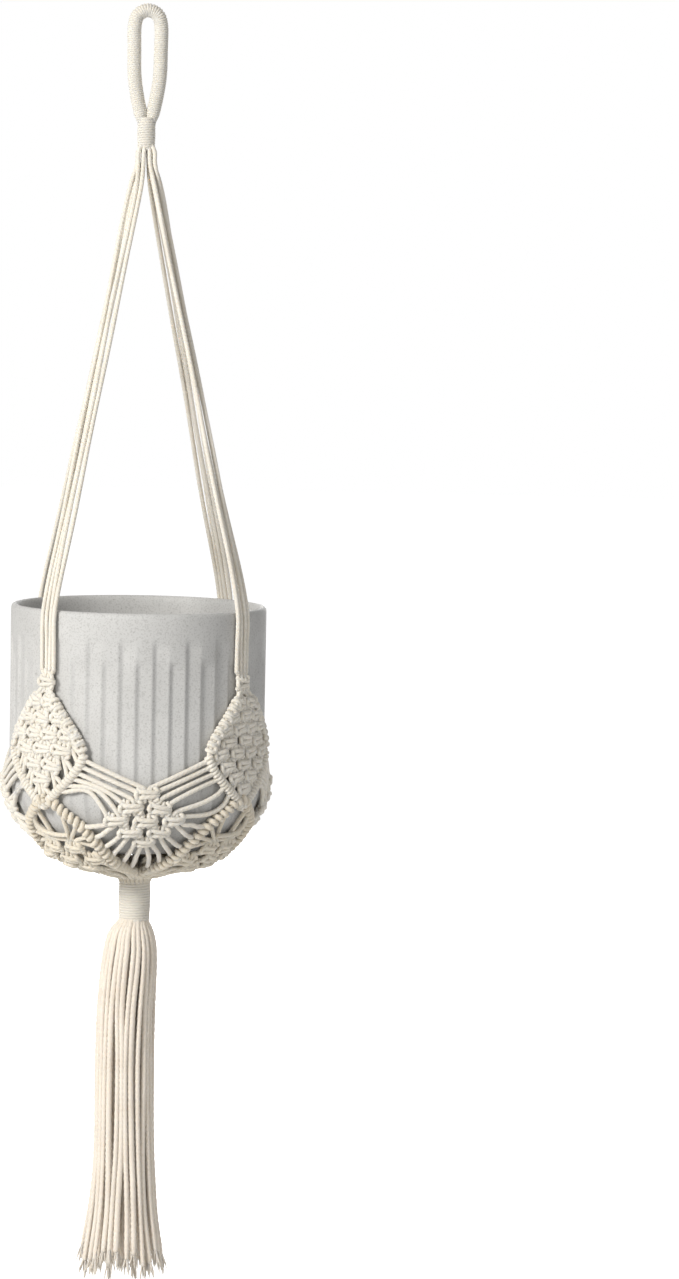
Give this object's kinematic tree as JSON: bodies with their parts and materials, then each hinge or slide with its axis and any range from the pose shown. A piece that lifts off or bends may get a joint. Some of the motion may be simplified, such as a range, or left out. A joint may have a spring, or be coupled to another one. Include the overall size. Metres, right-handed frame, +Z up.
{
  "type": "hanging macrame planter",
  "caption": "Knotted cotton hanger with a wrapped eye, corded straps and a diamond-panelled net that carries a fluted pot, ending in a long tassel.",
  "frame": {"origin": "the bearing point inside the top of the hanging eye, where a hook sits", "axes": "+Z up, -Y to the front, +X to the right seen from the front"},
  "size_m": [0.1914, 0.1914, 0.8868],
  "materials": {
    "cotton_cord": "matte twisted cotton",
    "wrapped_cotton": "matte tightly wrapped cotton",
    "stoneware": "matte speckled"
  },
  "bodies": {
    "eye": {"hanging_loop": "wrapped_cotton"},
    "neck": {"upper_collar": "wrapped_cotton"},
    "sling": {"strap_front_left_cord_1": "cotton_cord", "strap_front_left_cord_2": "cotton_cord", "strap_front_left_cord_3": "cotton_cord", "strap_front_left_cord_4": "cotton_cord", "strap_front_right_cord_1": "cotton_cord", "strap_front_right_cord_2": "cotton_cord", "strap_front_right_cord_3": "cotton_cord", "strap_front_right_cord_4": "cotton_cord", "strap_back_right_cord_1": "cotton_cord", "strap_back_right_cord_2": "cotton_cord", "strap_back_right_cord_3": "cotton_cord", "strap_back_right_cord_4": "cotton_cord", "strap_back_left_cord_1": "cotton_cord", "strap_back_left_cord_2": "cotton_cord", "strap_back_left_cord_3": "cotton_cord", "strap_back_left_cord_4": "cotton_cord", "strap_knot_front_left": "cotton_cord", "strap_knot_front_right": "cotton_cord", "strap_knot_back_right": "cotton_cord", "strap_knot_back_left": "cotton_cord", "panel_front_left": "cotton_cord", "panel_front_right": "cotton_cord", "panel_back_right": "cotton_cord", "panel_back_left": "cotton_cord", "panel_front": "cotton_cord", "panel_right": "cotton_cord", "panel_back": "cotton_cord", "panel_left": "cotton_cord", "links_front_left_to_front": "cotton_cord", "links_front_right_to_front": "cotton_cord", "links_front_right_to_right": "cotton_cord", "links_back_right_to_right": "cotton_cord", "links_back_right_to_back": "cotton_cord", "links_back_left_to_back": "cotton_cord", "links_back_left_to_left": "cotton_cord", "links_front_left_to_left": "cotton_cord", "net_front_left": "cotton_cord", "net_front_right": "cotton_cord", "net_back_right": "cotton_cord", "net_back_left": "cotton_cord", "net_hub": "cotton_cord"},
    "pot": {"pot": "stoneware"},
    "gathering": {"lower_collar": "wrapped_cotton"},
    "tassel": {"tassel_strand_1": "cotton_cord", "tassel_strand_2": "cotton_cord", "tassel_strand_3": "cotton_cord", "tassel_strand_4": "cotton_cord", "tassel_strand_5": "cotton_cord", "tassel_strand_6": "cotton_cord", "tassel_strand_7": "cotton_cord", "tassel_strand_8": "cotton_cord", "tassel_strand_9": "cotton_cord", "tassel_strand_10": "cotton_cord", "tassel_strand_11": "cotton_cord", "tassel_strand_12": "cotton_cord", "tassel_strand_13": "cotton_cord", "tassel_strand_14": "cotton_cord"}
  },
  "joints": [
    {"name": "neck_sway", "type": "hinge", "parent": "eye", "child": "neck", "pos_m": [0, 0, -0.07], "axis": [1, 0, 0], "range_deg": [-20, 20]},
    {"name": "sling_twist", "type": "hinge", "parent": "neck", "child": "sling", "pos_m": [0, 0, -0.0921], "axis": [0, 0, 1], "range_deg": [-60, 60]},
    {"name": "pot_turn", "type": "hinge", "parent": "sling", "child": "pot", "pos_m": [0, 0, -0.5], "axis": [0, 0, 1], "continuous": true},
    {"name": "gathering_sway", "type": "hinge", "parent": "sling", "child": "gathering", "pos_m": [0, 0, -0.607], "axis": [1, 0, 0], "range_deg": [-20, 20]},
    {"name": "tassel_swing", "type": "hinge", "parent": "gathering", "child": "tassel", "pos_m": [0, 0, -0.6302], "axis": [0, 1, 0], "range_deg": [-20, 20]}
  ]
}
